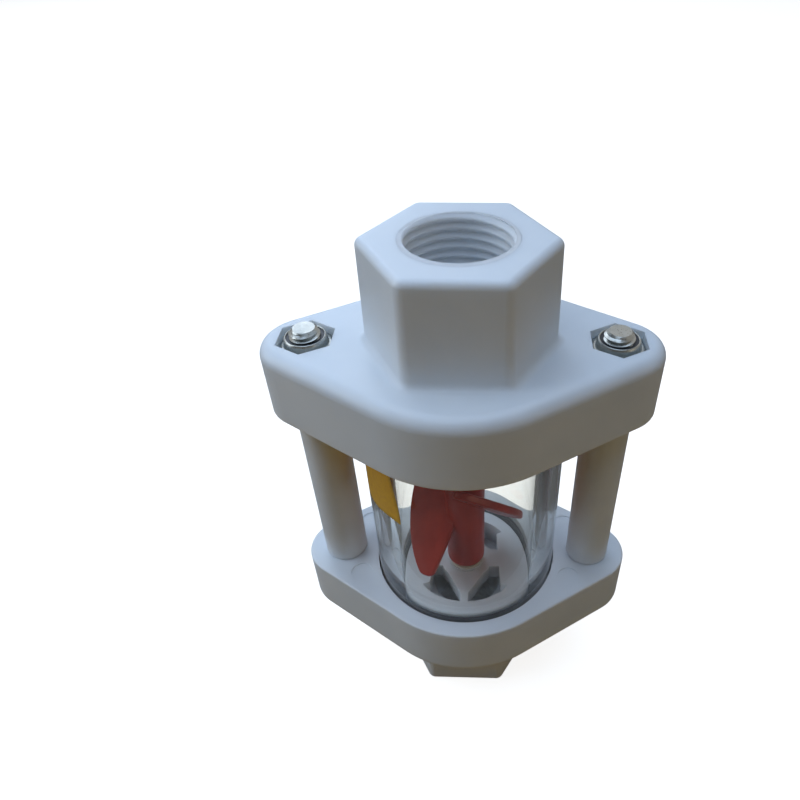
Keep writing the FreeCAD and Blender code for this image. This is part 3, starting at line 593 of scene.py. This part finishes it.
# %% helpers for hexagons
CHAMFER_SLOPE = math.tan(math.radians(30))
FLAT_CUTS = 11


def hexagon_ring(bm, bolt_x, across_flats, level):
    """A hexagon of fine edges round a bolt, with two corners along Y."""
    ring = bmesh.ops.create_circle(bm, segments=6, radius=across_flats / math.sqrt(3),
                                   matrix=Matrix.Translation((bolt_x, 0, level)))
    edges = list({edge for vert in ring["verts"] for edge in vert.link_edges})
    cut = bmesh.ops.subdivide_edges(bm, edges=edges, cuts=FLAT_CUTS)
    return [item for item in cut["geom"] if isinstance(item, bmesh.types.BMEdge)]


def raise_ring(bm, ring, bolt_x, level, circle):
    """Extrude a hexagon to a level, its edge lowered by a chamfer that starts at a circle."""
    low = ring[0].verts[0].co.z
    geom = bmesh.ops.extrude_edge_only(bm, edges=ring)["geom"]
    for vert in (item for item in geom if isinstance(item, bmesh.types.BMVert)):
        outside = math.hypot(vert.co.x - bolt_x, vert.co.y) - circle
        vert.co.z = level - math.copysign(outside * CHAMFER_SLOPE, level - low)
    return ring_edges(geom)


nut_low, nut_high = node_box("right_lock_nut")
print("lock nut, mm:", [round(side, 2) for side in nut_high - nut_low])

# %% [markdown]
# A lock nut has a collar on top, and its lip is rolled inwards over the nylon ring. The lip is the
# thin bright circle in the photograph. From the chamfered hexagon, rings that are extruded one
# after another make the collar, the lip and the bore, each on its own radius and level, and a
# bridge closes the nut.

# %% lock nuts
NUT_FLATS = 10.0
NUT_CIRCLE = 4.72
NUT_HEX_HEIGHT = 4.4
NUT_BORE = 2.62
NUT_LEAD_WIDTH = 0.45
NUT_LEAD_HEIGHT = 0.4
# Radius, and depth under the nut's top, of the rings from the collar's foot to the bore.
NUT_COLLAR = [
    (4.72, 1.80), (4.42, 1.78), (4.28, 1.66), (4.24, 1.45), (4.24, 0.90), (4.16, 0.48),
    (4.04, 0.19), (3.95, 0.06), (3.86, 0.0), (3.77, 0.02), (3.70, 0.10), (3.68, 0.22),
    (3.78, 0.32), (3.98, 0.36), (3.98, 1.78), (2.90, 1.80), (NUT_BORE, 2.05)]


def lock_nut(bolt_x):
    """A hexagon nut with a crimped collar, round the bolt at bolt_x."""
    bm = bmesh.new()
    top, foot = nut_high.z, nut_low.z
    middle = hexagon_ring(bm, bolt_x, NUT_FLATS, foot + NUT_HEX_HEIGHT / 2)
    ring = raise_ring(bm, middle, bolt_x, foot + NUT_HEX_HEIGHT, NUT_CIRCLE)
    for radius, depth in NUT_COLLAR:
        ring = circle_ring(bm, ring, bolt_x, radius, top - depth)
    bore_top = ring
    ring = raise_ring(bm, middle, bolt_x, foot, NUT_CIRCLE)
    for radius, level in ((NUT_CIRCLE, foot), (NUT_BORE + NUT_LEAD_WIDTH, foot),
                          (NUT_BORE, foot + NUT_LEAD_HEIGHT)):
        ring = circle_ring(bm, ring, bolt_x, radius, level)
    bmesh.ops.bridge_loops(bm, edges=bore_top + ring)
    return bm


bolt_boxes = {"left": node_box("left_bolt"), "right": node_box("right_bolt")}
bolt_axis = {side: (low.x + high.x) / 2 for side, (low, high) in bolt_boxes.items()}
for side, bolt_x in bolt_axis.items():
    nut = lock_nut(bolt_x)
    add_piece(nut, side + "_crimped_nut", "zinc_steel", "housing", [side + "_lock_nut"])

# %% [markdown]
# The clamp bolts are M6: their ridges are 1 mm apart, and their ends are chamfered, which shows
# above the nuts. The thread is wound and cut like the pipe's, and both cuts are filled. The
# chamfer then limits how far each point near the end may stand out. The head is a chamfered
# hexagon, and a plain shank joins the two inside the pillar.

# %% clamp bolts
BOLT_RADIUS = 3.0
BOLT_ROOT = 2.46
BOLT_PITCH = 1.0
BOLT_STEPS = 48
# Radius and height of one pitch, from the middle of a groove to that of the next.
BOLT_RIDGE = [(BOLT_ROOT, 0.0), (BOLT_ROOT, 0.14), (BOLT_RADIUS, 0.44),
              (BOLT_RADIUS, 0.56), (BOLT_ROOT, 0.86), (BOLT_ROOT, 1.0)]
BOLT_END_CHAMFER = 0.85
BOLT_THREAD_LENGTH = 13.0
# The shank is a hair thinner than the thread. It ends under the thread's foot and runs into it.
SHANK_RADIUS = BOLT_RADIUS - 0.02
SHANK_UNDER = 0.4
SHANK_INTO = 0.1
HEAD_HEIGHT = 4.0
HEAD_FLATS = 10.0
HEAD_CIRCLE = 4.65
# Distance inside the circle, and depth, of the rings that dish the head's face.
HEAD_DISH = [(0.0, 0.0), (0.5, 0.0), (0.8, 0.12)]


def bolt_thread(bolt_x, foot, top):
    """The threaded end of a bolt, cut flat at both ends and chamfered at the top."""
    bm = bmesh.new()
    turns = math.ceil(BOLT_THREAD_LENGTH / BOLT_PITCH) + SPARE_TURNS
    wind_thread(bm, BOLT_RIDGE, foot - BOLT_PITCH, BOLT_PITCH, turns, BOLT_STEPS)
    for level, upwards in ((top, True), (foot, False)):
        bmesh.ops.edgeloop_fill(bm, edges=cut_flat(bm, level, upwards))
    for vert in bm.verts:
        allowed = BOLT_RADIUS - max(0, vert.co.z - top + BOLT_END_CHAMFER)
        radius = math.hypot(vert.co.x, vert.co.y)
        if radius > allowed:
            vert.co.x *= allowed / radius
            vert.co.y *= allowed / radius
    bmesh.ops.translate(bm, vec=(bolt_x, 0, 0), verts=bm.verts)
    return bm


def add_head(bm, bolt_x, face, thread_foot):
    """Add a hexagon head whose chamfered face looks down, and the shank up to the thread."""
    seat = face + HEAD_HEIGHT
    hexagon = hexagon_ring(bm, bolt_x, HEAD_FLATS, seat)
    ring = circle_ring(bm, hexagon, bolt_x, SHANK_RADIUS, seat)
    ring = circle_ring(bm, ring, bolt_x, SHANK_RADIUS, thread_foot - SHANK_UNDER)
    ring = circle_ring(bm, ring, bolt_x, BOLT_ROOT, thread_foot + SHANK_INTO)
    bmesh.ops.edgeloop_fill(bm, edges=ring)
    ring = raise_ring(bm, hexagon, bolt_x, face, HEAD_CIRCLE)
    for inside, depth in HEAD_DISH:
        ring = circle_ring(bm, ring, bolt_x, HEAD_CIRCLE - inside, face + depth)
    bmesh.ops.edgeloop_fill(bm, edges=ring)


for side, (low, high) in bolt_boxes.items():
    thread_foot = high.z - BOLT_THREAD_LENGTH
    bm = bolt_thread(bolt_axis[side], thread_foot, high.z)
    add_head(bm, bolt_axis[side], low.z, thread_foot)
    add_piece(bm, side + "_threaded_bolt", "zinc_steel", "housing", [side + "_bolt"])

# %% [markdown]
# The sticker is a square of paper on the outside of the tube, a little askew. It starts as a flat
# grid, gets its UV map while it is flat, is turned by its tilt, and is then wrapped: the distance
# along the paper becomes an angle round the tube. One corner has come loose and lifts. Solidify
# gives the paper its thickness.

# %% sticker
STICKER_SIDE = 17.0
STICKER_THICKNESS = 0.12
STICKER_CELLS = 34
STICKER_BEARING = math.radians(210.4)
STICKER_TILT = math.radians(9.5)
STICKER_LIFT = 0.5
# From the middle, the paper holds for this share of the way to the loose corner.
STICKER_HOLD = 0.7
GLUE_THICKNESS = 0.01
sticker_low, sticker_high = node_box("inspection_sticker")
sticker_level = (sticker_low.z + sticker_high.z) / 2

bm = bmesh.new()
bmesh.ops.create_grid(bm, x_segments=STICKER_CELLS, y_segments=STICKER_CELLS,
                      size=STICKER_SIDE / 2)
paper_map = bm.loops.layers.uv.new("paper")
for face in bm.faces:
    for loop in face.loops:
        across, upwards = loop.vert.co.x / STICKER_SIDE, loop.vert.co.y / STICKER_SIDE
        loop[paper_map].uv = (across + 0.5, upwards + 0.5)
lift = {}
for vert in bm.verts:
    past_hold = max(0, (vert.co.x - vert.co.y) / STICKER_SIDE - STICKER_HOLD)
    lift[vert] = STICKER_LIFT * (past_hold / (1 - STICKER_HOLD)) ** 2
bmesh.ops.rotate(bm, cent=(0, 0, 0), matrix=Matrix.Rotation(STICKER_TILT, 3, "Z"), verts=bm.verts)
for vert in bm.verts:
    angle = STICKER_BEARING + vert.co.x / glass_radius
    radius = glass_radius + GLUE_THICKNESS + lift[vert]
    vert.co = (radius * math.cos(angle), radius * math.sin(angle), sticker_level + vert.co.y)
bmesh.ops.recalc_face_normals(bm, faces=bm.faces)
bmesh.ops.solidify(bm, geom=bm.faces[:], thickness=-STICKER_THICKNESS)
sticker = add_piece(bm, "wrapped_sticker", "yellow_paper", "housing", ["inspection_sticker"])
paper_low, paper_high = (Vector(sticker.bound_box[corner]) for corner in (0, 6))
print("sticker, mm:", [round(side / MM, 1) for side in paper_high - paper_low])

# %% [markdown]
# The floor is pale and plain. The camera sees it as white, also through the clear tube, with the
# part's own soft shadow on it: a glow of most of the brightness, and a diffuse part that shows
# the shadow. In reflections it is much dimmer, so that it lays no veil on the tube. Soft light
# that bounces off it is warm, like that of a wooden bench.

# %% floor
FLOOR_SIDE = 6.0
FLOOR_SHINE = 0.06
FLOOR_GLOW = 0.85
floor_finish = bpy.data.materials.new("pale_floor")
floor_finish.use_nodes = True
tree = floor_finish.node_tree
tree.nodes.clear()


def sight_of(tree, shine):
    """How much of the white a ray sees: all of it straight on or through clear pieces, and the
    share shine once it is mirrored. Returns that, and whether the ray is mirrored."""
    path = add_node(tree, "ShaderNodeLightPath")
    clear = add_node(tree, "ShaderNodeMath", {
        0: path.outputs["Is Glossy Ray"], 1: path.outputs["Is Transmission Ray"]},
        operation="MAXIMUM")
    sight = add_node(tree, "ShaderNodeMath", {
        0: path.outputs["Is Camera Ray"], 1: clear.outputs[0]}, operation="MAXIMUM")
    mirrored = add_node(tree, "ShaderNodeMath", {
        0: path.outputs["Glossy Depth"], 1: 1.0}, operation="MINIMUM")
    dimmed = add_node(tree, "ShaderNodeMapRange", {
        "Value": mirrored.outputs[0], "To Min": 1.0, "To Max": shine})
    share = add_node(tree, "ShaderNodeMath", {
        0: sight.outputs[0], 1: dimmed.outputs[0]}, operation="MULTIPLY")
    return share.outputs[0], mirrored.outputs[0]


sight, mirrored = sight_of(tree, FLOOR_SHINE)
white = add_node(tree, "ShaderNodeBsdfDiffuse", {"Color": linear("#C8C8C6")})
glow = add_node(tree, "ShaderNodeEmission", {"Color": linear("#FFFFFF"), "Strength": FLOOR_GLOW})
seen = add_node(tree, "ShaderNodeAddShader", {0: white.outputs[0], 1: glow.outputs[0]})
bounce = add_node(tree, "ShaderNodeBsdfDiffuse", {"Color": linear("#9C7A46")})
shade = add_node(tree, "ShaderNodeBsdfDiffuse", {"Color": linear("#57534B")})
unseen = add_node(tree, "ShaderNodeMixShader", {
    0: mirrored, 1: bounce.outputs[0], 2: shade.outputs[0]})
choice = add_node(tree, "ShaderNodeMixShader", {0: sight, 1: unseen.outputs[0], 2: seen.outputs[0]})
add_node(tree, "ShaderNodeOutputMaterial", {"Surface": choice.outputs[0]})

bm = bmesh.new()
bmesh.ops.create_grid(bm, x_segments=2, y_segments=2, size=FLOOR_SIDE / 2)
floor_mesh = bpy.data.meshes.new("floor")
bm.to_mesh(floor_mesh)
bm.free()
floor_mesh.materials.append(floor_finish)
floor = bpy.data.objects.new("floor", floor_mesh)
bpy.context.scene.collection.objects.link(floor)
print("floor is", FLOOR_SIDE, "m wide")

# %% [markdown]
# The light is that of a room by day: a broad cool light from overhead, weaker windows on the left
# and behind, and a faint warm light from the room on the right. Top faces are bright and slightly
# blue, left faces get some of that, and the fronts are in the warm shade that the floor throws
# back.

# %% lights
LIGHTS_AIM = Vector((0, 0, 60)) * MM


def add_light(name, place, side, power, colour):
    """A square soft light that faces the part. Place and side are in metres, power in watts."""
    lamp = bpy.data.lights.new(name, "AREA")
    lamp.size = side
    lamp.energy = power
    lamp.color = colour
    light = bpy.data.objects.new(name, lamp)
    light.location = place
    light.rotation_euler = (LIGHTS_AIM - Vector(place)).to_track_quat("-Z", "Y").to_euler()
    bpy.context.scene.collection.objects.link(light)


add_light("skylight", (-0.08, 0.08, 0.95), 1.15, 7.8, (0.55, 0.73, 1.0))
add_light("far_window", (-0.40, 1.00, 0.60), 0.60, 2.4, (0.66, 0.80, 1.0))
add_light("window", (-0.85, -0.05, 0.45), 0.60, 3.2, (0.76, 0.87, 1.0))
add_light("room", (0.85, -0.45, 0.35), 0.60, 0.75, (1.0, 0.90, 0.72))

# %% [markdown]
# The surround is a dim warm light from all sides, and it looks white to the camera. In what
# shines, it is brighter behind than at the front, as in a room that is deeper than its windows
# reach. Colours are shown as they are written, with no film look.

# %% surround
SURROUND_LIGHT = 0.045
FRONT_SHINE = 0.10
BACK_SHINE = 0.5
scene = bpy.context.scene
scene.world = bpy.data.worlds.new("surround")
scene.world.use_nodes = True
tree = scene.world.node_tree
tree.nodes.clear()
dim = add_node(tree, "ShaderNodeBackground", {
    "Color": linear("#FFDFAE"), "Strength": SURROUND_LIGHT})
bright = add_node(tree, "ShaderNodeBackground", {"Color": linear("#FFFFFF"), "Strength": 1.0})
direction = add_node(tree, "ShaderNodeTexCoord").outputs["Generated"]
depth = add_node(tree, "ShaderNodeSeparateXYZ", {0: direction}).outputs["Y"]
shine = add_node(tree, "ShaderNodeMapRange", {
    "Value": depth, "From Min": -0.5, "From Max": 0.6,
    "To Min": FRONT_SHINE, "To Max": BACK_SHINE})
sight = sight_of(tree, shine.outputs["Result"])[0]
choice = add_node(tree, "ShaderNodeMixShader", {0: sight, 1: dim.outputs[0], 2: bright.outputs[0]})
add_node(tree, "ShaderNodeOutputWorld", {"Surface": choice.outputs[0]})
scene.view_settings.view_transform = "Standard"
print("surround:", scene.world.name, "view:", scene.view_settings.view_transform)

# %% [markdown]
